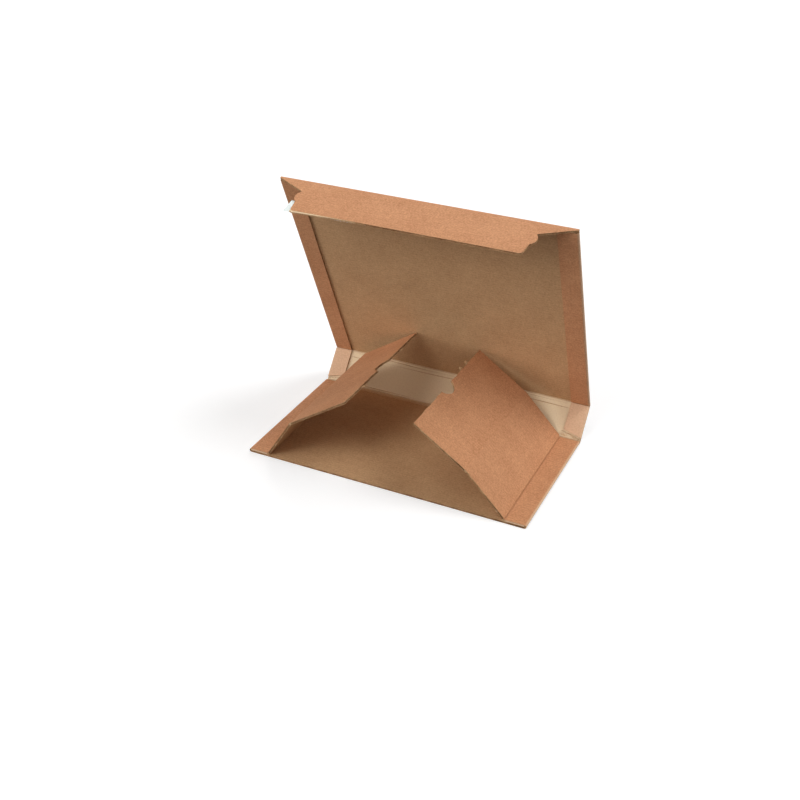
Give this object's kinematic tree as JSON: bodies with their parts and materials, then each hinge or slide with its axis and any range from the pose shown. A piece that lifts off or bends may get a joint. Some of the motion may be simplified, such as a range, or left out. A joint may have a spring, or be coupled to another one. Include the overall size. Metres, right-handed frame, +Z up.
{
  "type": "corrugated wrap mailer box",
  "caption": "Wrap-around corrugated mailer standing open: base with folding inner flaps, spine, lid leaning over it, and a closing flap with peel-off seal and tear tape.",
  "frame": {"origin": "middle of the base panel's underside", "axes": "+X across the pack to the right as seen from its open front, +Y from the front edge to the spine, +Z up"},
  "size_m": [0.29, 0.1865, 0.2581],
  "materials": {
    "kraft_base": "matt uncoated kraft liner",
    "kraft_spine": "matt uncoated kraft liner",
    "kraft_lid": "matt uncoated kraft liner",
    "kraft_closing_flap": "matt uncoated kraft liner",
    "kraft_left_riser": "matt uncoated kraft liner",
    "kraft_left_top": "matt uncoated kraft liner",
    "kraft_right_riser": "matt uncoated kraft liner",
    "kraft_right_top": "matt uncoated kraft liner",
    "tear_tape_film": "thin red film",
    "hot_melt": "clear tacky hot melt",
    "silicone_paper": "smooth white silicone paper"
  },
  "bodies": {
    "base": {"base": "kraft_base"},
    "spine": {"spine": "kraft_spine"},
    "lid": {"lid": "kraft_lid"},
    "closing_flap": {"closing_flap": "kraft_closing_flap", "tear_tape": "tear_tape_film", "adhesive_band": "hot_melt", "release_liner": "silicone_paper"},
    "left_riser": {"left_riser": "kraft_left_riser"},
    "left_top_panel": {"left_top_panel": "kraft_left_top"},
    "right_riser": {"right_riser": "kraft_right_riser"},
    "right_top_panel": {"right_top_panel": "kraft_right_top"}
  },
  "joints": [
    {"name": "spine_fold", "type": "hinge", "parent": "base", "child": "spine", "pos_m": [0, 0.0805, 0.001], "axis": [1, 0, 0], "range_deg": [-51, 0]},
    {"name": "lid_fold", "type": "hinge", "parent": "spine", "child": "lid", "pos_m": [0, 0.10504, 0.03131], "axis": [1, 0, 0], "range_deg": [-63.8, 0]},
    {"name": "closing_flap_fold", "type": "hinge", "parent": "lid", "child": "closing_flap", "pos_m": [0, 0.00011, 0.25712], "axis": [1, 0, 0], "range_deg": [-80, 20]},
    {"name": "left_flap_fold", "type": "hinge", "parent": "base", "child": "left_riser", "pos_m": [-0.1235, 0, 0.003], "axis": [0, -1, 0], "range_deg": [-56.6, 0]},
    {"name": "left_flap_crease", "type": "hinge", "parent": "left_riser", "child": "left_top_panel", "pos_m": [-0.09724, 0, 0.04437], "axis": [0, -1, 0], "range_deg": [0, 24.4]},
    {"name": "right_flap_fold", "type": "hinge", "parent": "base", "child": "right_riser", "pos_m": [0.1235, 0, 0.003], "axis": [0, 1, 0], "range_deg": [-45.2, 0]},
    {"name": "right_flap_crease", "type": "hinge", "parent": "right_riser", "child": "right_top_panel", "pos_m": [0.08405, 0, 0.04414], "axis": [0, 1, 0], "range_deg": [0, 11.9]}
  ],
  "couplings": [
    {"joint": "left_flap_crease", "follows": "left_flap_fold", "ratio": -0.42361},
    {"joint": "right_flap_crease", "follows": "right_flap_fold", "ratio": -0.25758}
  ]
}
